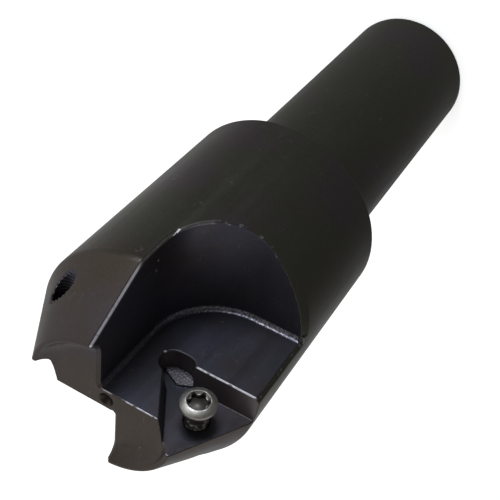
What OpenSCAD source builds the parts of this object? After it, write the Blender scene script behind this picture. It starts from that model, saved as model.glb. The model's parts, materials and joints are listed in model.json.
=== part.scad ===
// Two-tooth indexable milling cutter with a plain cylindrical shank.
// The origin is the centre of the shank's end face, and +Z runs up the tool's axis to the cutting nose.
// Tooth A lies on +X with its seat facing +Y. Tooth B is tooth A turned half a turn about the axis.

/* [Shank] */
// Diameter of the plain shank
shank_d = 25; // [16:0.5:28]
// Length from the shank's end face to the back of the head
shank_len = 58; // [40:1:80]
// Chamfer on the shank's end
shank_chamfer = 0.5; // [0.2:0.1:1.5]
// Radius of the fillet between the shank and the head
shoulder_r = 1.5; // [0.5:0.1:3]

/* [Head] */
// Diameter of the head
head_d = 35; // [32:0.5:42]
// Overall length of the tool
total_len = 107.7; // [100:0.1:140]
// Chamfer on the head's back edge
head_chamfer = 0.3; // [0.1:0.1:1]
// Angle of the cutting cone from the axis
cone_angle = 30; // [25:1:35]
// Diameter of the nose, over its rim
nose_d = 22.4; // [20:0.1:24]
// Depth of the dished end face below the rim
dish_depth = 1.6; // [1:0.1:2.4]
// Radius of the fillet round the dish
dish_r = 2.5; // [2.4:0.1:4]
// Width of the rim round the dish
rim_w = 0.6; // [0.3:0.1:1]
// Mouth diameter of the lathe centre hole in the dish
centre_d = 2.3; // [1.6:0.1:3]

/* [Chip flutes] */
// Height of the flute floor above the axis, at the nose
floor_y = 1.8; // [1:0.1:3]
// Fall of the flute floor towards the shank, in degrees
floor_fall = 1; // [0:0.1:2]
// Distance from the axis to the flute wall, past the axis
wall_x = 1.2; // [0.5:0.1:2]
// Length of the flute floor from the nose to the back wall
flute_len = 25; // [22:0.5:32]
// Lean of the flute's walls away from the nose as they rise, in degrees
flute_lean = 4.5; // [1:0.1:6]
// Radius of the corner between the side wall and the back wall
corner_r = 11; // [6:0.5:12]
// Radius of the fillet where the walls meet the floor
flute_fillet = 0.8; // [0.3:0.1:1.5]
// Chamfer along the floor's outer edge
edge_break = 0.5; // [0.2:0.1:0.8]
// Deepest part of the chamfer where the back wall breaks out of the head
back_break = 0.5; // [0.2:0.1:0.7]

/* [Insert pockets] */
// Distance from the insert screw to each of the pocket's walls, at the seat
pocket_r = 4.3; // [4:0.05:4.5]
// Lean of the pocket's walls away from the screw as they rise, in degrees
pocket_lean = 10.5; // [7:0.5:12]
// Distance from the axis to the insert screw
screw_x = 10.9; // [10.5:0.1:11.5]
// Distance from the nose to the insert screw
screw_back = 7; // [6:0.1:8]
// Distance of the seat below the axis
seat_drop = 2.15; // [1.8:0.05:2.4]
// Radius of the relief milled in the pocket's inner corner
relief_r = 2; // [1.8:0.1:2.2]
// Length that the relief is milled along the back wall
relief_run = 1.2; // [0.5:0.1:2]
// Distance from the insert screw to the relief, towards the tool's axis
relief_in = 6.55; // [6.3:0.05:6.8]
// Distance from the insert screw to the relief, towards the shank
relief_back = 4.1; // [4:0.05:4.3]
// Height of the relief's floor above the seat
relief_rise = 0.4; // [0.1:0.05:0.6]

/* [Insert screws] */
// Thread diameter of the insert screw
screw_d = 3.5; // [3.5:0.5:4]
// Pitch of the thread
screw_pitch = 0.6; // [0.6:0.05:0.8]
// Length of the screw with its head
screw_len = 9; // [8:0.5:10]
// Diameter of the head
screw_head_d = 5.3; // [4.8:0.1:5.6]
// Height of the head's straight side
screw_head_h = 0.4; // [0.2:0.1:0.8]
// Height of the sloping crown above the straight side
screw_crown_h = 0.6; // [0.2:0.1:0.8]
// Diameter of the flat top round the socket
screw_crown_d = 3.8; // [3.7:0.1:4.2]
// Height of the head's top face above the seat
screw_stand = 4.4; // [4:0.1:4.8]
// Radial clearance between the thread and its hole
thread_clearance = 0.05; // [0.02:0.01:0.1]
// Width of the six-lobe socket over its lobes
socket_d = 3.4; // [3:0.1:3.6]
// Depth of the socket
socket_depth = 1.2; // [1:0.1:1.8]

/* [Hidden] */
$fn = 96;
shank_r = shank_d / 2;
head_r = head_d / 2;
nose_r = nose_d / 2;
screw_r = screw_d / 2;
cone_len = (head_r - nose_r) / tan(cone_angle);
back_z = total_len - flute_len;
reach = 40;                                            // clears the head from anywhere inside it
pocket_h = 6;                                          // from the seat to well above the flute floor
thread_depth = 0.54 * screw_pitch;
socket_waist = 0.36 * socket_d;                        // from the socket's centre to between two lobes
lobe_gap_r = 0.22 * socket_d;                          // radius of the ridges between the lobes

// Extrudes an outline drawn in X and Z upwards along Y, from y0 to y1.
module rise(y0, y1) {
    translate([0, y1, 0]) rotate([90, 0, 0]) linear_extrude(y1 - y0) children();
}

// Repeats what it is given on both teeth.
module on_both_teeth() {
    children();
    rotate([0, 0, 180]) children();
}

// Half of the turned blank's section: the shank, the head and the cone.
module blank_section() {
    polygon([[0, 0], [shank_r - shank_chamfer, 0], [shank_r, shank_chamfer], [shank_r, shank_len],
             [head_r - head_chamfer, shank_len], [head_r, shank_len + head_chamfer],
             [head_r, total_len - cone_len], [nose_r, total_len], [0, total_len]]);
}

// The fillet's section: a square corner less a quarter circle.
module shoulder_fillet_section() {
    translate([shank_r, shank_len - shoulder_r]) difference() {
        translate([-1, 0]) square([1 + shoulder_r, shoulder_r + 0.2]);
        translate([shoulder_r, 0]) circle(r = shoulder_r);
    }
}

// The dish's section, with its concave fillet rising to the rim.
module dish_section() {
    arc_run = sqrt(pow(dish_r, 2) - pow(dish_r - dish_depth, 2));
    flat_r = nose_r - rim_w - arc_run;
    translate([0, total_len - dish_depth]) intersection() {
        union() {
            square([flat_r, dish_depth + 1]);
            translate([flat_r, dish_r]) circle(r = dish_r);
        }
        square([flat_r + arc_run, dish_depth + 1]);
    }
}

// The lathe centre: a 60 degree mouth and a pilot.
module centre_hole() {
    mouth_r = centre_d / 2;
    pilot_r = mouth_r * 0.4;
    mouth_depth = (mouth_r - pilot_r) / tan(30);
    face_z = total_len - dish_depth;
    translate([0, 0, face_z - mouth_depth]) cylinder(r1 = pilot_r, r2 = mouth_r, h = mouth_depth);
    translate([0, 0, face_z]) cylinder(r = mouth_r, h = 1);
    translate([0, 0, face_z - mouth_depth - 2 * pilot_r]) cylinder(r = pilot_r, h = 2 * pilot_r + 0.1);
}

// The flute's outline on its floor, moved in from the walls by inset. The origin is at the nose.
module flute_outline(inset) {
    x = inset - wall_x;
    z = inset - flute_len;
    r = corner_r - inset;
    translate([x + r, z]) square([reach, reach]);
    translate([x, z + r]) square([reach, reach]);
    translate([x + r, z + r]) circle(r = r);
}

// The space between the walls above the fillet. The walls lean back from the floor's back edge.
module flute_walls() {
    intersection() {
        translate([-reach, flute_fillet, -reach]) cube(2 * reach);
        translate([0, 0, -flute_len]) rotate([floor_fall - flute_lean, 0, 0]) translate([0, 0, flute_len])
            rise(-5, reach) flute_outline(0);
    }
}

// A round-cornered cutter's path along both walls, which leaves the fillet.
module flute_fillets() {
    f = flute_fillet;
    translate([f - wall_x, f, corner_r - flute_len]) cylinder(r = f, h = reach);
    translate([corner_r - wall_x, f, f - flute_len]) rotate([0, 90, 0]) cylinder(r = f, h = reach);
    translate([corner_r - wall_x, f, corner_r - flute_len]) rotate([90, 0, 0])
        rotate_extrude() translate([corner_r - f, 0]) circle(r = f, $fn = 32);
}

// The chamfer along the floor's outer edge.
module floor_edge_break() {
    edge_x = sqrt(pow(head_r, 2) - pow(floor_y, 2));
    translate([edge_x - edge_break, 0, -flute_len]) rotate([0, 0, -45])
        cube([5, 5, flute_len]);
}

module flute() {
    translate([0, floor_y, total_len]) rotate([-floor_fall, 0, 0]) {
        rise(0, 2 * flute_fillet) flute_outline(flute_fillet);
        flute_walls();
        flute_fillets();
        floor_edge_break();
    }
}

// The chamfer where the flute's back wall breaks out of the head. Its axis is set back from the tool's
// axis, which makes the chamfer deepest at 20 degrees from tooth A and lets it taper away on both sides.
module back_edge_break() {
    set_back = 2.3;
    inner_r = head_r + set_back - back_break;
    translate([0, floor_y, back_z]) rotate([-flute_lean, 0, 0])
        translate([-set_back * cos(20), -floor_y - set_back * sin(20), 0]) rotate([0, 0, 8])
            rotate_extrude(angle = 52)
                polygon([[inner_r, 0.2], [inner_r, 0], [inner_r + 2, -6], [inner_r + 2, 0.2]]);
}

// Puts what it is given on tooth A's seat: Y is the seat's normal and the screw's axis.
module on_seat() {
    translate([screw_x, -seat_drop, total_len - screw_back]) children();
}

// Everything in front of one of the pocket's leaning walls.
module before_wall() {
    translate([0, 0, -pocket_r]) rotate([-pocket_lean, 0, 0])
        translate([-reach, -reach, 0]) cube([2 * reach, 2 * reach, reach]);
}

// The space between the two walls. It stops halfway over the relief, short of the corner.
module insert_space() {
    intersection() {
        translate([-reach, 0, -reach]) cube([2 * reach, pocket_h, 2 * reach]);
        before_wall();
        rotate([0, 120, 0]) before_wall();
        translate([-relief_in, 0, -relief_back]) rotate([0, -30, 0])
            translate([0, -reach, -reach]) cube(2 * reach);
    }
}

// A short milled slot that clears the insert's inner corner.
module corner_relief() {
    rise(relief_rise, pocket_h) translate([-relief_in, -relief_back]) {
        circle(r = relief_r);
        translate([0, -relief_r]) square([relief_run, 2 * relief_r]);
        translate([relief_run, 0]) circle(r = relief_r);
    }
}

module thread_hole() {
    rotate([90, 0, 0]) translate([0, 0, -1])
        cylinder(r = screw_r + thread_clearance, h = 20);
}

module insert_pocket() {
    on_seat() {
        insert_space();
        corner_relief();
        thread_hole();
    }
}

// Half of the section that the blank has when it leaves the lathe.
module turned_section() {
    difference() {
        union() {
            blank_section();
            shoulder_fillet_section();
        }
        dish_section();
    }
}

module cutter_body() {
    color("dimgray") difference() {
        rotate_extrude() turned_section();
        centre_hole();
        on_both_teeth() {
            flute();
            back_edge_break();
            insert_pocket();
        }
    }
}

// One ridge and groove of the thread, down from z.
function thread_turn(z) = [[screw_r, z - 0.1 * screw_pitch], [screw_r - thread_depth, z - 0.45 * screw_pitch],
                           [screw_r - thread_depth, z - 0.65 * screw_pitch], [screw_r, z - screw_pitch]];

// Half of the screw's section, from its top face down. The thread is drawn as rings.
module screw_section() {
    head_r = screw_head_d / 2;
    rim_z = -screw_crown_h - screw_head_h;
    neck_z = rim_z - (head_r - screw_r) / tan(30);
    turns = floor((screw_len + neck_z - screw_pitch) / screw_pitch);
    last_z = neck_z - turns * screw_pitch;
    thread = [for (i = [0 : turns - 1]) each thread_turn(neck_z - i * screw_pitch)];
    polygon(concat([[0, 0], [screw_crown_d / 2, 0], [head_r, -screw_crown_h], [head_r, rim_z], [screw_r, neck_z]],
                   thread,
                   [[screw_r, last_z - 0.1], [screw_r - thread_depth, -screw_len], [0, -screw_len]]));
}

module six_lobe_outline() {
    difference() {
        circle(d = socket_d);
        for (i = [0 : 5]) rotate(30 + 60 * i) translate([socket_waist + lobe_gap_r, 0]) circle(r = lobe_gap_r);
    }
}

module insert_screw() {
    color("silver") on_seat() translate([0, screw_stand, 0]) rotate([-90, 0, 0]) difference() {
        rotate_extrude() screw_section();
        translate([0, 0, -socket_depth]) linear_extrude(socket_depth + 1) six_lobe_outline();
    }
}

module insert_screw_a() {
    insert_screw();
}

module insert_screw_b() {
    rotate([0, 0, 180]) insert_screw();
}

cutter_body();
insert_screw_a();
insert_screw_b();
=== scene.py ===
import json
import math

import bpy
import numpy as np
from mathutils import Matrix, Vector


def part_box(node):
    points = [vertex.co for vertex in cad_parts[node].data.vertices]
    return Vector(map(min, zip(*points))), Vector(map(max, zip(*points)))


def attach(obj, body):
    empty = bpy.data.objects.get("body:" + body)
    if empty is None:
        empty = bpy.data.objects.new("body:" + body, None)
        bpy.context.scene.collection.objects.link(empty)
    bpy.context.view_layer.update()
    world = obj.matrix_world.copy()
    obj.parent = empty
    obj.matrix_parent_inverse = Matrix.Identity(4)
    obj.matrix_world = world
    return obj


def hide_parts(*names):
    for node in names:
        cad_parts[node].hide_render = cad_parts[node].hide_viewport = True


# A two-tooth indexable milling cutter. The cutter body and the two insert screws are meshed here from
# distance fields, which round every edge and cut real threads, and stand for the CAD nodes.
# Fields work in millimetres in the CAD frame: negative inside the solid. Meshes are stored in metres.

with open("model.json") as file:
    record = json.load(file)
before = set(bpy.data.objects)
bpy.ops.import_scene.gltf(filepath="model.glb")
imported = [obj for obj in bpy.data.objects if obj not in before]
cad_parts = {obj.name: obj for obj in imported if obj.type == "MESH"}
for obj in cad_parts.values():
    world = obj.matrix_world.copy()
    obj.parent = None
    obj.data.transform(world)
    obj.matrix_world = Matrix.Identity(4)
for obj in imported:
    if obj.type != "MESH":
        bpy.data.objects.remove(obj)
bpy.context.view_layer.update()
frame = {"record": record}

MM = 0.001

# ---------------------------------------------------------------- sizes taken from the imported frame
mounts = {m["name"]: m for m in frame["record"]["mounts"]}
body_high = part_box("cutter_body")[1] / MM
screw_low, screw_high = [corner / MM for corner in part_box("insert_screw_a")]
LENGTH = body_high.z
HEAD_R = body_high.x
SHANK_R = mounts["shank"]["dims"]["r_mm"]
SHANK_CHAMFER = mounts["shank"]["pos_m"][2] / MM - mounts["shank"]["dims"]["length_mm"] / 2
SEAT_X, SEAT_Y, SEAT_Z = [v / MM for v in mounts["insert_seat_a"]["pos_m"]]
SCREW_TOP = screw_high.y
SCREW_LEN = screw_high.y - screw_low.y
SCREW_HEAD_R = (screw_high.x - screw_low.x) / 2

# ---------------------------------------------------------------- sizes repeated from part.scad
SHANK_LEN = 58.0
SHOULDER_R = 1.5
CONE = math.radians(30)
NOSE_R = 11.2
DISH_DEPTH = 1.6
DISH_R = 2.5
RIM_W = 0.6
CENTRE_R = 1.15
FLOOR_Y = 1.8
FLOOR_FALL = math.radians(1)
WALL_X = 1.2
FLUTE_LEN = 25.0
FLUTE_LEAN = math.radians(4.5)
CORNER_R = 11.0
FLUTE_FILLET = 0.8
EDGE_BREAK = 0.5
BACK_BREAK = 0.5
BACK_SET = 2.3                            # how far that chamfer's axis is set back from the tool's
BACK_DEEPEST = math.radians(20)           # where round the head it is deepest
BACK_START = math.radians(8)
BACK_END = math.radians(60)
BACK_SLOPE = 1 / 3
CONE_Z = LENGTH - (HEAD_R - NOSE_R) / math.tan(CONE)
POCKET_R = 4.3
POCKET_LEAN = math.radians(10.5)
RELIEF_R = 2.0
RELIEF_RUN = 1.2
RELIEF_IN = 6.55
RELIEF_BACK = 4.1
RELIEF_RISE = 0.4
SCREW_R = 1.75
PITCH = 0.6
SCREW_HEAD_H = 0.4
SCREW_CROWN_H = 0.6
SCREW_CROWN_R = 1.9
SOCKET_R = 1.7
SOCKET_WAIST = 0.72 * SOCKET_R
SOCKET_RIDGE_R = 0.44 * SOCKET_R
SOCKET_DEPTH = 1.2
THREAD_GAP = 0.05
THREAD_DEPTH = 0.54 * PITCH

# ---------------------------------------------------------------- fine shapes that only this model has
EDGE_LEG = 0.14                           # chamfer legs along the sharp edges
WALL_EDGE_LEG = 0.5
SUNK_EDGE_LEG = 0.12
HOLE_EDGE_LEG = 0.05
PATCH_OUT, PATCH_NOSE = -5.3, -3.4        # where the rough patch's two sides meet, from the screw
PATCH_LEAN = math.radians(27)
FLANK_START, FLANK_END = 0.2, 0.82        # a thread's flank, from mid-groove (0) to mid-crest (1)
FAR_GAP = 9.0                             # a gap that is out of every wear band's reach

# ---------------------------------------------------------------- light, as world and floor strengths
OPENING = (0.50, 0.74, 0.45)              # the way the tent's dark opening faces
TENT_LIGHT = 0.78
OPENING_LIGHT = 0.15
CARD_LIGHT = 0.13
FAR_LIGHT = 0.6
FLOOR_GLOW = 0.6


# ================================================================ distance-field helpers
def round_and(a, b, r):
    """Intersection of two solids with its convex edge rounded to radius r."""
    u = np.maximum(a + r, 0)
    v = np.maximum(b + r, 0)
    return np.minimum(np.maximum(a, b), -r) + np.sqrt(u * u + v * v)


def round_or(a, b, r):
    """Union of two solids with a fillet of radius r in its concave corner."""
    return -round_and(-a, -b, r)


def chamfer_and(a, b, leg):
    """Intersection of two solids with a flat 45 degree chamfer on its convex edge."""
    return np.maximum(np.maximum(a, b), (a + b + leg) * math.sqrt(0.5))


def soft_step(x, low, high):
    t = np.clip((x - low) / (high - low), 0, 1)
    return t * t * (3 - 2 * t)


def half_turn(p):
    x, y, z = p
    return -x, -y, z


# ================================================================ the cutter body's field
def blank(p):
    """Shank, head and cone as they leave the lathe."""
    x, y, z = p
    r = np.sqrt(x * x + y * y)
    shank = chamfer_and(r - SHANK_R, -z, SHANK_CHAMFER)
    shank = np.maximum(shank, z - SHANK_LEN - 10)
    cone = (r - NOSE_R - (LENGTH - z) * math.tan(CONE)) * math.cos(CONE)
    head = round_and(r - HEAD_R, SHANK_LEN - z, 0.3)
    head = round_and(head, cone, 0.25)
    head = round_and(head, z - LENGTH, 0.2)
    return round_or(shank, head, SHOULDER_R)


def dish(p):
    """The hollow in the nose, with a round corner up to the rim."""
    x, y, z = p
    r = np.sqrt(x * x + y * y)
    arc_run = math.sqrt(DISH_R ** 2 - (DISH_R - DISH_DEPTH) ** 2)
    wall = NOSE_R - RIM_W - arc_run + DISH_R
    return round_and(LENGTH - DISH_DEPTH - z, r - wall, DISH_R)


def centre_hole(p):
    """The lathe centre in the dish: a 60 degree mouth and a pilot."""
    x, y, z = p
    r = np.sqrt(x * x + y * y)
    depth = LENGTH - DISH_DEPTH - z
    mouth = (r - CENTRE_R + depth * math.tan(math.radians(30))) * math.cos(math.radians(30))
    mouth_end = CENTRE_R * 0.6 / math.tan(math.radians(30))
    pilot = np.maximum(r - CENTRE_R * 0.4, depth - mouth_end - CENTRE_R * 0.8)
    return np.minimum(np.maximum(mouth, depth - mouth_end), pilot)


def flute_frame(p):
    """Flute coordinates: across, up from the floor, and along the floor from the nose."""
    x, y, z = p
    up, along = y - FLOOR_Y, z - LENGTH
    c, s = math.cos(FLOOR_FALL), math.sin(FLOOR_FALL)
    return x, up * c - along * s, up * s + along * c


def flute(p):
    x, up, along = flute_frame(p)
    tilt = FLUTE_LEAN - FLOOR_FALL
    along_wall = up * math.sin(tilt) + (along + FLUTE_LEN) * math.cos(tilt)
    walls = round_and(-(x + WALL_X), -along_wall, CORNER_R)
    return round_and(walls, -up, FLUTE_FILLET)


def floor_edge_break(p):
    x, up, along = flute_frame(p)
    edge_x = math.sqrt(HEAD_R ** 2 - FLOOR_Y ** 2)
    slope = -(x - edge_x + EDGE_BREAK + up) * math.sqrt(0.5)
    return np.maximum(np.maximum(slope, up - EDGE_BREAK), -(along + FLUTE_LEN))


def back_edge_break(p):
    """The chamfer where the back wall breaks out of the head, about an axis set back from the tool's."""
    x, y, z = p
    up, along = y - FLOOR_Y, z - (LENGTH - FLUTE_LEN)
    c, s = math.cos(FLUTE_LEAN), math.sin(FLUTE_LEAN)
    up, along = up * c - along * s, up * s + along * c
    cx = x + BACK_SET * math.cos(BACK_DEEPEST)
    cy = up + FLOOR_Y + BACK_SET * math.sin(BACK_DEEPEST)
    r = np.sqrt(cx * cx + cy * cy)
    inner = HEAD_R + BACK_SET - BACK_BREAK
    cone = (inner - along * BACK_SLOPE - r) * math.cos(math.atan(BACK_SLOPE))
    start = cx * math.sin(BACK_START) - cy * math.cos(BACK_START)
    end = cy * math.cos(BACK_END) - cx * math.sin(BACK_END)
    return np.maximum(np.maximum(cone, along - 0.2), np.maximum(start, end))


def seat_frame(p):
    """Seat coordinates: out from the screw, up from the seat, and towards the nose."""
    x, y, z = p
    return x - SEAT_X, y - SEAT_Y, z - SEAT_Z


def pocket_walls(p):
    out, up, nose = seat_frame(p)
    c, s = math.cos(POCKET_LEAN), math.sin(POCKET_LEAN)
    rear = -(c * (nose + POCKET_R) + s * up)
    a = math.radians(120)
    side = -(c * (out * math.sin(a) + nose * math.cos(a) + POCKET_R) + s * up)
    return rear, side


def pocket(p):
    out, up, nose = seat_frame(p)
    rear, side = pocket_walls(p)
    corner = -((out + RELIEF_IN) * math.cos(math.radians(30)) + (nose + RELIEF_BACK) * 0.5)
    space = round_and(np.maximum(rear, side), -up, 0.08)
    return np.maximum(space, corner)


def relief_outline(out, nose):
    """The relief slot's round-ended outline on the seat."""
    along = np.clip(out + RELIEF_IN, 0, RELIEF_RUN)
    return np.sqrt((out + RELIEF_IN - along) ** 2 + (nose + RELIEF_BACK) ** 2) - RELIEF_R


def corner_relief(p):
    """The milled slot at the pocket's inner corner, deep to the seat beside the side wall."""
    out, up, nose = seat_frame(p)
    return round_and(relief_outline(out, nose), -up, 0.15)


def rough_patch(p):
    """The raised, rough-milled floor that is left in the corner, between the two cutter paths."""
    out, up, nose = seat_frame(p)
    ahead = (nose - PATCH_NOSE) * math.cos(PATCH_LEAN)
    beside = ahead - (out - PATCH_OUT) * math.sin(PATCH_LEAN)
    behind = ahead + (out - PATCH_OUT) * math.sin(PATCH_LEAN)
    ridges = 0.03 * np.sin(9.0 * nose + 4.0 * out) * np.sin(7.0 * out - 3.0 * nose)
    top = up - RELIEF_RISE - ridges
    return np.maximum(round_and(np.maximum(beside, behind), top, 0.12), -up - 1)


def sunk(p):
    """All that lies below the flute's floor: pocket and relief, less the patch left standing."""
    return np.maximum(np.minimum(pocket(p), corner_relief(p)), -rough_patch(p))


def screw_hole(p):
    out, _, nose = seat_frame(p)
    return np.sqrt(out * out + nose * nose) - SCREW_R - THREAD_GAP


def tooth_cuts(p, solid):
    """Takes one tooth's flute, pocket and tapped hole out of the solid."""
    wall_band = soft_step(-p[0], WALL_X - 0.6, WALL_X)
    leg = EDGE_LEG + (WALL_EDGE_LEG - EDGE_LEG) * wall_band
    solid = chamfer_and(solid, -flute(p), leg)
    solid = np.maximum(solid, -back_edge_break(p))
    solid = np.maximum(solid, -floor_edge_break(p))
    solid = chamfer_and(solid, -sunk(p), SUNK_EDGE_LEG)
    return chamfer_and(solid, -screw_hole(p), HOLE_EDGE_LEG)


def cutter_body(p):
    solid = round_and(blank(p), -dish(p), 0.2)
    solid = round_and(solid, -centre_hole(p), 0.08)
    solid = tooth_cuts(p, solid)
    return tooth_cuts(half_turn(p), solid)


# ================================================================ the screws' and threads' fields
def thread_radius(up, angle, crest, root):
    """Radius of a right-hand thread: its crest climbs as the angle grows about the screw's axis."""
    turn = (up / PITCH - angle / (2 * math.pi)) % 1.0
    tri = np.abs(turn - 0.5) * 2
    flank = np.clip((tri - FLANK_START) / (FLANK_END - FLANK_START), 0, 1)
    return root + (crest - root) * flank


def screw_polar(p):
    """Radius, height and angle about the insert screw's axis. Heights count up from the seat."""
    out, up, nose = seat_frame(p)
    return np.sqrt(out * out + nose * nose), up, np.arctan2(out, nose)


def six_lobe(p):
    """The six-lobe socket, with a round chamfered mouth."""
    r, up, angle = screw_polar(p)
    depth = SCREW_TOP - SEAT_Y - up
    sector = math.pi / 3
    folded = (angle % sector) - sector / 2
    inward = r * np.cos(folded) - SOCKET_WAIST - SOCKET_RIDGE_R
    ridge = np.sqrt(inward ** 2 + (r * np.sin(folded)) ** 2) - SOCKET_RIDGE_R
    outline = round_and(r - SOCKET_R + 0.05, -ridge, 0.2)
    floor = depth - SOCKET_DEPTH + 0.2 - 0.2 * r / SOCKET_R
    mouth = np.maximum((r - SOCKET_R - 0.05 + depth * 0.9) * 0.74, depth - 0.5)
    return np.minimum(np.maximum(outline, floor), mouth)


def insert_screw(p):
    """A crowned head on a cone, over a right-hand thread."""
    r, up, angle = screw_polar(p)
    top = SCREW_TOP - SEAT_Y
    slope = math.radians(30)
    rim = top - SCREW_CROWN_H - SCREW_HEAD_H
    neck = rim - (SCREW_HEAD_R - SCREW_R) / math.tan(slope)
    tip = top - SCREW_LEN
    under = (r - SCREW_R - (up - neck) * math.tan(slope)) * math.cos(slope)
    fall = math.atan2(SCREW_CROWN_H, SCREW_HEAD_R - SCREW_CROWN_R)
    crown = (up - top) * math.cos(fall) + (r - SCREW_CROWN_R) * math.sin(fall)
    head = round_and(round_and(up - top, crown, 0.5), r - SCREW_HEAD_R, 0.12)
    head = round_and(head, under, 0.1)
    crest = thread_radius(up, angle, SCREW_R, SCREW_R - THREAD_DEPTH)
    end = soft_step(up, tip, tip + 0.6)
    radius = np.minimum(crest, SCREW_R - 0.4 + 0.4 * end)
    shank = np.maximum((r - radius) * 0.8, tip - up)
    shank = np.maximum(shank, up - neck - 0.3)
    solid = round_or(head, shank, 0.05)
    return round_and(solid, -six_lobe(p), 0.05)


def tapped_thread(p):
    """The hole's thread: a thin sleeve whose outside is buried in the body and whose inside is the thread."""
    r, up, angle = screw_polar(p)
    inner = thread_radius(up, angle, SCREW_R + THREAD_GAP, SCREW_R + THREAD_GAP - THREAD_DEPTH)
    mouth = soft_step(-up, 0.0, 0.5)
    inner = np.maximum(inner, SCREW_R + 0.3 - 0.5 * mouth)
    sleeve = np.maximum((inner - r) * 0.8, r - SCREW_R - 3 * THREAD_GAP)
    sleeve = round_and(sleeve, blank(p) + 0.03, 0.1)
    return np.maximum(sleeve, up + 0.15)


# ================================================================ meshing
def sample(field, xs, ys, zs):
    """The field at every grid point, a few layers at a time."""
    values = np.empty((len(xs), len(ys), len(zs)), np.float32)
    gx, gy = np.meshgrid(xs.astype(np.float32), ys.astype(np.float32), indexing="ij")
    for k in range(0, len(zs), 8):
        layer = zs[k:k + 8].astype(np.float32)
        shape = (len(xs), len(ys), len(layer))
        p = (np.broadcast_to(gx[:, :, None], shape), np.broadcast_to(gy[:, :, None], shape),
             np.broadcast_to(layer[None, None, :], shape))
        values[:, :, k:k + 8] = field(p)
    return values


def net_vertices(values, axes):
    """One vertex in each cell that the surface crosses, at the mean of its edge crossings."""
    inside = values < 0
    shape = [n - 1 for n in values.shape]
    corners = [(a, b, c) for a in (0, 1) for b in (0, 1) for c in (0, 1)]
    count = np.zeros(shape, np.uint8)
    for a, b, c in corners:
        count += inside[a:a + shape[0], b:b + shape[1], c:c + shape[2]]
    cells = np.argwhere((count > 0) & (count < 8))
    total = np.zeros((len(cells), 3))
    hits = np.zeros(len(cells))
    for first in corners:
        for axis in range(3):
            if first[axis]:
                continue
            second = list(first)
            second[axis] = 1
            ia = tuple((cells + first).T)
            ib = tuple((cells + second).T)
            fa, fb = values[ia].astype(float), values[ib].astype(float)
            crossed = (fa < 0) != (fb < 0)
            t = np.where(crossed, fa / np.where(crossed, fa - fb, 1), 0)
            pa = np.stack([axes[n][ia[n]] for n in range(3)], 1)
            pb = np.stack([axes[n][ib[n]] for n in range(3)], 1)
            total += np.where(crossed[:, None], pa + (pb - pa) * t[:, None], 0)
            hits += crossed
    index = np.full(shape, -1, np.int64)
    index[tuple(cells.T)] = np.arange(len(cells))
    return total / hits[:, None], index, inside


def net_faces(index, inside):
    """One quad round each grid edge that the surface crosses."""
    faces = []
    for axis in range(3):
        u, v = (axis + 1) % 3, (axis + 2) % 3
        here = inside.take(range(inside.shape[axis] - 1), axis)
        ahead = inside.take(range(1, inside.shape[axis]), axis)
        edges = np.argwhere(here != ahead)
        for leaving in (True, False):
            chosen = edges[here[tuple(edges.T)] == leaving]
            ring = []
            for du, dv in ((-1, -1), (0, -1), (0, 0), (-1, 0)):
                cell = chosen.copy()
                cell[:, u] += du
                cell[:, v] += dv
                ring.append(index[tuple(cell.T)])
            quad = np.stack(ring if leaving else ring[::-1], 1)
            faces.append(quad)
    return np.concatenate(faces)


def gradient(field, points, step=0.01):
    out = np.empty_like(points)
    for axis in range(3):
        shift = np.zeros(3)
        shift[axis] = step
        ahead = field(tuple((points + shift).T))
        behind = field(tuple((points - shift).T))
        out[:, axis] = (ahead - behind) / (2 * step)
    return out


def settle(field, points, rounds, reach):
    """Moves points onto the surface along the gradient, at most reach each time."""
    for _ in range(rounds):
        g = gradient(field, points)
        size = np.maximum((g * g).sum(1), 0.05)
        move = -g * (field(tuple(points.T)) / size)[:, None]
        far = np.linalg.norm(move, axis=1, keepdims=True)
        points = points + move * np.minimum(1, reach / np.maximum(far, 1e-9))
    return points


def make_mesh(name, points, faces):
    mesh = bpy.data.meshes.new(name)
    mesh.vertices.add(len(points))
    mesh.vertices.foreach_set("co", (points * MM).astype(np.float32).ravel())
    sides = faces.shape[1]
    mesh.loops.add(faces.size)
    mesh.loops.foreach_set("vertex_index", faces.astype(np.int32).ravel())
    mesh.polygons.add(len(faces))
    mesh.polygons.foreach_set("loop_start", np.arange(0, faces.size, sides, dtype=np.int32))
    mesh.update(calc_edges=True)
    return mesh


def mesh_points(mesh):
    co = np.empty(len(mesh.vertices) * 3, np.float32)
    mesh.vertices.foreach_get("co", co)
    return co.reshape(-1, 3).astype(float) / MM


def thinned(obj, triangles):
    """Applies a collapse decimation that leaves about this many triangles."""
    now = sum(len(poly.vertices) - 2 for poly in obj.data.polygons)
    modifier = obj.modifiers.new("thin", "DECIMATE")
    modifier.ratio = min(1, triangles / now)
    graph = bpy.context.evaluated_depsgraph_get()
    mesh = bpy.data.meshes.new_from_object(obj.evaluated_get(graph))
    obj.modifiers.clear()
    obj.data = mesh
    return mesh


def field_object(name, field, axes, triangles, reach):
    """Meshes a field on a grid, thins it, and puts its points and normals exactly on the surface."""
    values = sample(field, *axes)
    points, index, inside = net_vertices(values, axes)
    faces = net_faces(index, inside)
    points = settle(field, points, 4, reach)
    obj = bpy.data.objects.new(name, make_mesh(name, points, faces))
    bpy.context.scene.collection.objects.link(obj)
    mesh = thinned(obj, triangles)
    points = settle(field, mesh_points(mesh), 2, reach / 3)
    mesh.vertices.foreach_set("co", (points * MM).astype(np.float32).ravel())
    normals = gradient(field, points)
    normals /= np.maximum(np.linalg.norm(normals, axis=1, keepdims=True), 1e-9)
    mesh.polygons.foreach_set("use_smooth", np.ones(len(mesh.polygons), bool))
    mesh.normals_split_custom_set_from_vertices(normals.tolist())
    mark_edges_and_hollows(mesh, field, points, normals)
    mesh.update()
    return obj


def set_attribute(mesh, name, values):
    attribute = mesh.attributes.new(name, "FLOAT", "POINT")
    attribute.data.foreach_set("value", values.astype(np.float32))


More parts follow.
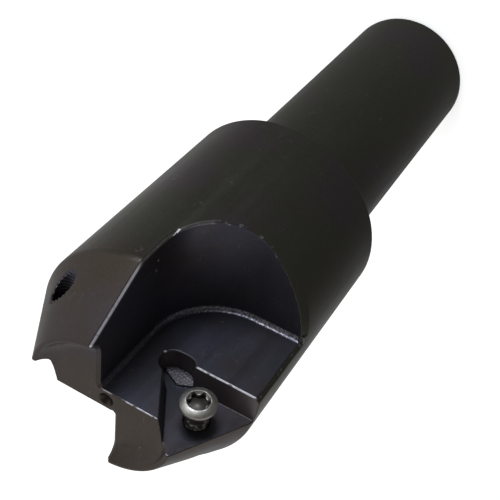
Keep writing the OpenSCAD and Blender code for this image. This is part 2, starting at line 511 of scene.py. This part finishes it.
def mark_edges_and_hollows(mesh, field, points, normals):
    """Stores how sharply the surface turns outwards, and how deep it lies in a corner: the screw's painted
    edge highlights and the painted shade in corners read these.
    """
    inner = 0.25
    outer = 0.6
    set_attribute(mesh, "edge", np.clip(1 + field(tuple((points - normals * inner).T)) / inner, 0, 1))
    set_attribute(mesh, "cavity", np.clip(1 - field(tuple((points + normals * outer).T)) / outer, 0, 1))


def spaced(stops):
    """Grid lines through a list of (position, spacing up to the next position)."""
    lines = []
    for (start, gap), (end, _) in zip(stops, stops[1:]):
        steps = max(1, round((end - start) / gap))
        lines.extend(start + (end - start) * n / steps for n in range(steps))
    return np.array(lines + [stops[-1][0]])


def about_screw(gap, low, high):
    """A fine grid round tooth A's screw axis, between two heights above the seat."""
    half = SCREW_HEAD_R + 3 * gap
    steps = round(2 * half / gap)
    across = np.linspace(-half, half, steps)
    up = np.arange(low - 2.5 * gap, high + 3 * gap, gap)
    return across + SEAT_X, up + SEAT_Y, across + SEAT_Z


# ================================================================ materials
class Nodes:
    """Short helper for building a material's node tree."""

    def __init__(self, name):
        self.material = bpy.data.materials.new(name)
        self.material.use_nodes = True
        self.tree = self.material.node_tree
        self.tree.nodes.clear()
        self.shader = self.add("ShaderNodeBsdfPrincipled")
        self.output = self.add("ShaderNodeOutputMaterial")
        self.link(self.shader.outputs["BSDF"], self.output.inputs["Surface"])
        self.place = self.add("ShaderNodeTexCoord").outputs["Object"]

    def add(self, kind, **settings):
        node = self.tree.nodes.new(kind)
        for key, value in settings.items():
            setattr(node, key, value)
        return node

    def link(self, source, target):
        self.tree.links.new(source, target)

    def put(self, value, socket):
        if isinstance(value, bpy.types.NodeSocket):
            self.link(value, socket)
        else:
            socket.default_value = value

    def math(self, operation, a, b=0.5, clamp=False):
        node = self.add("ShaderNodeMath", operation=operation, use_clamp=clamp)
        self.put(a, node.inputs[0])
        self.put(b, node.inputs[1])
        return node.outputs[0]

    def ramp(self, value, low, high, to_low=0.0, to_high=1.0):
        node = self.add("ShaderNodeMapRange", interpolation_type="SMOOTHSTEP")
        self.put(value, node.inputs["Value"])
        self.put(low, node.inputs["From Min"])
        self.put(high, node.inputs["From Max"])
        self.put(to_low, node.inputs["To Min"])
        self.put(to_high, node.inputs["To Max"])
        return node.outputs["Result"]

    def scaled(self, factors):
        node = self.add("ShaderNodeMapping")
        self.link(self.place, node.inputs["Vector"])
        node.inputs["Scale"].default_value = factors
        return node.outputs["Vector"]

    def noise(self, scale, detail=3.0, roughness=0.5, vector=None, distortion=0.0):
        node = self.add("ShaderNodeTexNoise")
        self.link(vector or self.place, node.inputs["Vector"])
        node.inputs["Scale"].default_value = scale
        node.inputs["Detail"].default_value = detail
        node.inputs["Roughness"].default_value = roughness
        node.inputs["Distortion"].default_value = distortion
        return node.outputs["Fac"]

    def mix(self, factor, a, b):
        node = self.add("ShaderNodeMix", data_type="RGBA")
        self.put(factor, node.inputs["Factor"])
        colours = [s for s in node.inputs if s.type == "RGBA"]
        self.put(a, colours[0])
        self.put(b, colours[1])
        return [s for s in node.outputs if s.type == "RGBA"][0]

    def attribute(self, name):
        return self.add("ShaderNodeAttribute", attribute_name=name).outputs["Fac"]

    def bump(self, height, strength, distance):
        node = self.add("ShaderNodeBump")
        self.link(height, node.inputs["Height"])
        node.inputs["Strength"].default_value = strength
        node.inputs["Distance"].default_value = distance
        return node.outputs["Normal"]


def rgb(r, g, b):
    return (r, g, b, 1.0)


def scratches(n, scale, width, cover):
    """Hair-thin curling scratches, here and there."""
    bend = n.noise(scale, 2, 0.5, None, 0.6)
    line = n.ramp(n.math("ABSOLUTE", n.math("SUBTRACT", bend, 0.5)), width, 0.0)
    return n.math("MULTIPLY", line, n.ramp(n.noise(scale * 1.7, 2, 0.5), cover, cover + 0.06))


def worn_edges(n, height, side):
    """Bright steel where handling and chips have worn the oxide off the sharp edges."""
    lathe = n.attribute("lathe_gap")
    flute_gap = n.attribute("flute_gap")
    rub = n.noise(1500, 3, 0.6)
    dashes = n.ramp(n.noise(900, 2, 0.5), 0.40, 0.52)
    at_wall = n.ramp(side, WALL_X * MM + 0.0012, WALL_X * MM + 0.0007)
    breaks = n.math("MULTIPLY", n.ramp(lathe, 0.42, 0.34), n.ramp(flute_gap, 0.42, 0.34))
    on_cone = n.ramp(height, CONE_Z * MM - 0.0003, CONE_Z * MM + 0.0012, 0.10, 0.85)
    wall_line = n.math("MULTIPLY", n.math("MULTIPLY", breaks, at_wall), on_cone)
    wall_line = n.math("MULTIPLY", wall_line, n.ramp(rub, 0.25, 0.5, 0.45, 1.0))
    at_rear = n.ramp(n.attribute("rear_gap"), 0.20, 0.12)
    rear_line = n.math("MULTIPLY", n.ramp(flute_gap, 0.17, 0.12), at_rear)
    rear_line = n.math("MULTIPLY", rear_line, n.math("ADD", dashes, 0.25, True))
    at_dish = n.ramp(n.attribute("dish_gap"), 0.16, 0.1)
    nose_line = n.math("MULTIPLY", n.ramp(flute_gap, 0.16, 0.1), at_dish)
    nose_line = n.math("MULTIPLY", nose_line, n.math("MULTIPLY", dashes, 0.7))
    spots = n.math("MULTIPLY", n.math("MULTIPLY", breaks, 0.22), n.ramp(rub, 0.56, 0.68))
    long_lines = n.math("MAXIMUM", wall_line, rear_line)
    return n.math("MAXIMUM", long_lines, n.math("MAXIMUM", nose_line, spots))


def oxide_tint(n, height, patch, grain):
    """The oxide's uneven colour: greenish on the shank, browner on the cone, bluer where it was milled."""
    cloud = n.noise(55, 3, 0.55)
    green = rgb(0.052, 0.050, 0.036)
    brown = rgb(0.056, 0.043, 0.033)
    purple = rgb(0.058, 0.046, 0.050)
    turned = n.mix(n.ramp(height, (CONE_Z - 6) * MM, (CONE_Z + 2) * MM), green, brown)
    turned = n.mix(n.ramp(cloud, 0.5, 0.68), turned, purple)
    milled = n.mix(n.ramp(patch, 0.35, 0.65), rgb(0.054, 0.046, 0.050), rgb(0.048, 0.048, 0.066))
    tint = n.mix(n.ramp(n.attribute("milled_gap"), 0.05, 0.0), turned, milled)
    return n.mix(n.ramp(grain, 0.35, 0.75, 0.0, 0.25), tint, rgb(0.085, 0.080, 0.080))


def oxide_marks(n, tint, height, grit):
    """The fillet's rubbed wear with a painted highlight, scratches, rough patch, painted shade in corners and
    painted light on the pocket walls over the oxide's colour.
    """
    # Fillet band: rubbed wear along the floor's corner with the walls, lightened further as a painted
    # highlight.
    fillet_rub_and_highlight = n.ramp(n.noise(2600, 3, 0.7), 0.42, 0.66)
    fillet = n.math("MULTIPLY", n.ramp(n.attribute("fillet"), 0.8, 0.5), fillet_rub_and_highlight)
    back = LENGTH - FLUTE_LEN
    at_back = n.ramp(height, (back + 10) * MM, (back + 4) * MM, 0.10, 0.55)
    tint = n.mix(n.math("MULTIPLY", fillet, at_back), tint, rgb(0.34, 0.33, 0.36))
    tint = n.mix(n.math("MULTIPLY", scratches(n, 330, 0.005, 0.57), 0.28), tint, rgb(0.30, 0.30, 0.34))
    rough_floor = n.mix(grit, rgb(0.05, 0.045, 0.05), rgb(0.25, 0.23, 0.25))
    tint = n.mix(n.attribute("rough"), tint, rough_floor)
    # Painted shade: darkens the surface deep in corners and hollows.
    tint = n.mix(n.ramp(n.attribute("cavity"), 0.5, 1.0, 0.0, 0.4), tint, rgb(0.012, 0.010, 0.010))
    # Painted light: lightens the pocket's rear wall and the relief slot's wall.
    return n.mix(n.ramp(n.attribute("sunk_gap"), 0.04, 0.0), tint, rgb(0.12, 0.10, 0.105))


def oxide_roughness(n, patch):
    """Streaks along the tool, softer patches and the rough-milled floor."""
    streak = n.noise(420, 5, 0.65, n.scaled((1, 1, 0.06)), 0.3)
    rough = n.ramp(streak, 0.25, 0.75, 0.28, 0.38)
    rough = n.math("ADD", rough, n.ramp(patch, 0.3, 0.7, -0.03, 0.04))
    return n.math("ADD", rough, n.math("MULTIPLY", n.attribute("rough"), 0.3))


def oxide_relief(n, grain, grit):
    """The height of the grain, of faint turning rings and of the rough-milled floor."""
    rings = n.add("ShaderNodeTexWave", wave_type="BANDS", bands_direction="Z")
    n.link(n.place, rings.inputs["Vector"])
    rings.inputs["Scale"].default_value = 900
    rings.inputs["Distortion"].default_value = 1.5
    relief = n.math("ADD", n.math("MULTIPLY", grain, 0.7), n.math("MULTIPLY", rings.outputs["Fac"], 0.12))
    return n.math("ADD", relief, n.math("MULTIPLY", grit, n.attribute("rough")))


def black_oxide():
    """Satin black oxide on hardened steel: uneven tint, fine scratches and bright worn edges."""
    n = Nodes("black_oxide_steel")
    split = n.add("ShaderNodeSeparateXYZ")
    n.link(n.place, split.inputs[0])
    height = split.outputs["Z"]
    side = n.math("ABSOLUTE", split.outputs["X"])
    patch = n.noise(95, 4, 0.6)
    grain = n.noise(2600, 4, 0.7)
    grit = n.ramp(n.noise(5200, 3, 0.8), 0.40, 0.60)
    tint = oxide_marks(n, oxide_tint(n, height, patch, grain), height, grit)
    colour = n.mix(worn_edges(n, height, side), tint, rgb(0.72, 0.71, 0.76))
    n.link(colour, n.shader.inputs["Base Color"])
    n.link(oxide_roughness(n, patch), n.shader.inputs["Roughness"])
    n.shader.inputs["Metallic"].default_value = 0.7
    n.shader.inputs["Specular Tint"].default_value = rgb(0.6, 0.6, 0.6)
    n.link(n.bump(oxide_relief(n, grain, grit), 0.22, 0.00002), n.shader.inputs["Normal"])
    return n.material


def screw_steel():
    """Plain steel: a bright, grainy head with painted highlights on its edges and painted shade in its
    socket, over a thread darkened below the head by painted shade and dotted with painted glints.
    """
    n = Nodes("screw_steel")
    grain = n.noise(3000, 4, 0.7)
    patch = n.noise(700, 3, 0.6)
    base = n.mix(n.ramp(patch, 0.3, 0.7), rgb(0.36, 0.345, 0.31), rgb(0.27, 0.255, 0.23))
    # Painted shade: darkens the socket and other hollows.
    base = n.mix(n.ramp(n.attribute("cavity"), 0.4, 1.0, 0.0, 0.4), base, rgb(0.06, 0.055, 0.05))
    # Painted highlight: lightens the rounded edges.
    base = n.mix(n.ramp(n.attribute("edge"), 0.15, 0.6), base, rgb(0.50, 0.49, 0.46))
    # Painted shade: darkens the thread below the head.
    depth = n.attribute("depth")
    base = n.mix(n.ramp(depth, 0.85, 1.1), base, rgb(0.055, 0.05, 0.045))
    # Painted highlights: bright glints on the lower thread.
    glint = n.ramp(n.noise(1300, 2, 0.5), 0.56, 0.62)
    base = n.mix(n.math("MULTIPLY", glint, n.ramp(depth, 1.6, 2.2, 0.0, 0.5)), base, rgb(0.5, 0.48, 0.45))
    n.link(base, n.shader.inputs["Base Color"])
    n.link(n.ramp(grain, 0.3, 0.7, 0.40, 0.54), n.shader.inputs["Roughness"])
    n.shader.inputs["Metallic"].default_value = 1.0
    n.link(n.bump(grain, 0.18, 0.00001), n.shader.inputs["Normal"])
    return n.material


def pale_floor():
    """A near-white floor that only the camera sees so. All other rays see a graded, darker floor."""
    n = Nodes("pale_floor")
    n.shader.inputs["Base Color"].default_value = rgb(0.93, 0.93, 0.92)
    n.shader.inputs["Roughness"].default_value = 0.9
    n.shader.inputs["Emission Color"].default_value = rgb(1.0, 1.0, 1.0)
    n.shader.inputs["Emission Strength"].default_value = FLOOR_GLOW
    split = n.add("ShaderNodeSeparateXYZ")
    n.link(n.place, split.inputs[0])
    across = n.math("MULTIPLY", split.outputs["X"], 0.55)
    ahead = n.math("MULTIPLY", split.outputs["Y"], 0.85)
    shade = n.add("ShaderNodeEmission")
    graded = n.ramp(n.math("ADD", across, ahead), -0.09, 0.05, FAR_LIGHT, CARD_LIGHT)
    n.link(graded, shade.inputs["Strength"])
    pick = n.add("ShaderNodeMixShader")
    n.link(n.add("ShaderNodeLightPath").outputs["Is Camera Ray"], pick.inputs[0])
    n.link(shade.outputs["Emission"], pick.inputs[1])
    n.link(n.shader.outputs["BSDF"], pick.inputs[2])
    n.link(pick.outputs["Shader"], n.output.inputs["Surface"])
    return n.material


def clothe(obj, material):
    obj.data.materials.clear()
    obj.data.materials.append(material)


# ================================================================ pieces
def wall_gap(across, along):
    """Distance, on the flute's floor, to the side wall, the back wall or their round corner."""
    straight = np.minimum(np.abs(across + WALL_X), np.abs(along + FLUTE_LEN))
    corner = CORNER_R - np.hypot(CORNER_R - WALL_X - across, CORNER_R - FLUTE_LEN - along)
    in_corner = (across + WALL_X < CORNER_R) & (along + FLUTE_LEN < CORNER_R)
    return np.where(in_corner, np.abs(corner), straight)


def tooth_gaps(side):
    """How far each point lies from one tooth's surfaces, in millimetres."""
    out, _, nose = seat_frame(side)
    rear, left = pocket_walls(side)
    across, rise, along = flute_frame(side)
    flute_gap = np.abs(flute(side))
    rear_gap = np.maximum(np.abs(rear), left)
    slot_gap = np.abs(relief_outline(out, nose))
    return {"flute_gap": flute_gap,
            "milled_gap": np.minimum(flute_gap, np.abs(sunk(side))),
            "rear_gap": rear_gap,
            "sunk_gap": np.minimum(rear_gap, slot_gap),
            "fillet": np.maximum(np.abs(rise), wall_gap(across, along))}


def on_rough_patch(side):
    """Whether each point lies on top of one tooth's rough patch."""
    up = seat_frame(side)[1]
    return (np.abs(rough_patch(side)) < 0.05) & (up > 0.2) & (up < 0.6)


def mark_body(obj):
    """Stores the gaps to the surfaces whose meeting edges wear, and which place the fillet's painted
    highlight and the pocket walls' painted light, the nearer tooth's for each point.
    """
    mesh = obj.data
    here = tuple(mesh_points(mesh).T)
    behind = half_turn(here)
    gaps_a, gaps_b = tooth_gaps(here), tooth_gaps(behind)
    for name, gap in gaps_a.items():
        set_attribute(mesh, name, np.minimum(FAR_GAP, np.minimum(gap, gaps_b[name])))
    set_attribute(mesh, "lathe_gap", np.abs(blank(here)))
    set_attribute(mesh, "dish_gap", np.abs(dish(here)))
    set_attribute(mesh, "rough", (on_rough_patch(here) | on_rough_patch(behind)).astype(float))


def body_axes():
    """Grid lines: close along Z where the shape changes, and wide along the plain cylinders."""
    fine = 0.15
    half = HEAD_R + 2.5 * fine
    across = spaced([(-half, fine), (half, fine)])
    up = spaced([(-0.61, 0.3), (1.2, 1.8), (SHANK_LEN - 2.1, 0.25), (SHANK_LEN + 0.9, 1.8),
                 (LENGTH - FLUTE_LEN - 3.5, fine), (LENGTH + 2.6 * fine, fine)])
    return across, across.copy(), up


def build_body(material):
    obj = field_object("cutter_body_milled", cutter_body, body_axes(), 185000, 0.12)
    mark_body(obj)
    clothe(obj, material)
    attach(obj, "body")
    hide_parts("cutter_body")


def turned_copy(obj, name):
    """The same piece for tooth B, turned half a turn about the tool's axis."""
    mesh = obj.data.copy()
    mesh.transform(Matrix.Rotation(math.pi, 4, "Z"))
    other = bpy.data.objects.new(name, mesh)
    bpy.context.scene.collection.objects.link(other)
    return other


def build_screws(material):
    gap = 0.055
    top = SCREW_TOP - SEAT_Y
    axes = about_screw(gap, top - SCREW_LEN, top)
    first = field_object("insert_screw_a_turned", insert_screw, axes, 60000, 0.05)
    set_attribute(first.data, "depth", SCREW_TOP - mesh_points(first.data)[:, 1])
    clothe(first, material)
    second = turned_copy(first, "insert_screw_b_turned")
    for obj, letter in ((first, "a"), (second, "b")):
        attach(obj, "screw_" + letter)
        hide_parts("insert_screw_" + letter)


def build_threads(material):
    """The tapped threads wear nowhere. Attributes that are not set here read 0, as on milled steel."""
    gap = 0.06
    axes = about_screw(gap, -12.0, 0.0)
    first = field_object("tapped_thread_a", tapped_thread, axes, 40000, 0.05)
    for name in ("flute_gap", "rear_gap", "sunk_gap", "fillet", "lathe_gap", "dish_gap"):
        set_attribute(first.data, name, np.full(len(first.data.vertices), FAR_GAP))
    clothe(first, material)
    second = turned_copy(first, "tapped_thread_b")
    for obj in (first, second):
        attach(obj, "body")


# ================================================================ stage, light and camera
def build_floor():
    bpy.ops.mesh.primitive_plane_add(size=4, location=(0, 0, 0))
    floor = bpy.context.active_object
    floor.name = "floor"
    clothe(floor, pale_floor())


def build_light():
    """A white tent that is open and dark behind the camera."""
    world = bpy.data.worlds.new("studio")
    bpy.context.scene.world = world
    world.use_nodes = True
    tree = world.node_tree
    background = tree.nodes["Background"]
    direction = tree.nodes.new("ShaderNodeTexCoord").outputs["Generated"]
    facing = tree.nodes.new("ShaderNodeVectorMath")
    facing.operation = "DOT_PRODUCT"
    tree.links.new(direction, facing.inputs[0])
    facing.inputs[1].default_value = OPENING
    level = tree.nodes.new("ShaderNodeMapRange")
    level.interpolation_type = "SMOOTHSTEP"
    tree.links.new(facing.outputs["Value"], level.inputs["Value"])
    level.inputs["From Min"].default_value = 0.35
    level.inputs["From Max"].default_value = 0.95
    level.inputs["To Min"].default_value = TENT_LIGHT
    level.inputs["To Max"].default_value = OPENING_LIGHT
    tree.links.new(level.outputs["Result"], background.inputs["Strength"])
    background.inputs["Color"].default_value = rgb(1.0, 1.0, 1.0)
    head = Vector((5, 0, 92)) * MM
    from_flute = Vector((-0.25, 0.95, -0.10)).normalized()
    area_light("flute_box", head + from_flute * 0.35, head, 0.17, 1.0, (0.84, 0.90, 1.0))


def area_light(name, place, target, size, power, colour):
    data = bpy.data.lights.new(name, "AREA")
    data.shape = "DISK"
    data.size = size
    data.energy = power
    data.color = colour
    light = bpy.data.objects.new(name, data)
    bpy.context.scene.collection.objects.link(light)
    light.location = place
    light.rotation_euler = (target - place).to_track_quat("-Z", "Y").to_euler()
    light.visible_camera = False


def build_camera():
    """The camera stands beside tooth A's flute, above the nose, and is rolled with the tool."""
    place = Vector((43.8507, 95.7724, 167.7998)) * MM
    right = Vector((0.86482, 0.11721, -0.48821))
    down = Vector((0.40441, -0.73889, 0.53897))
    forward = Vector((-0.29756, -0.66355, -0.68641))
    turn = Matrix((right, -down, -forward)).transposed()
    data = bpy.data.cameras.new("camera")
    data.sensor_width = 36
    data.lens = 64.835
    data.clip_start = 0.005
    data.clip_end = 20
    camera = bpy.data.objects.new("camera", data)
    bpy.context.scene.collection.objects.link(camera)
    camera.matrix_world = Matrix.Translation(place) @ turn.to_4x4()
    bpy.context.scene.camera = camera


oxide = black_oxide()
build_body(oxide)
build_threads(oxide)
build_screws(screw_steel())
build_floor()
build_light()
build_camera()
bpy.context.scene.view_settings.view_transform = "Standard"
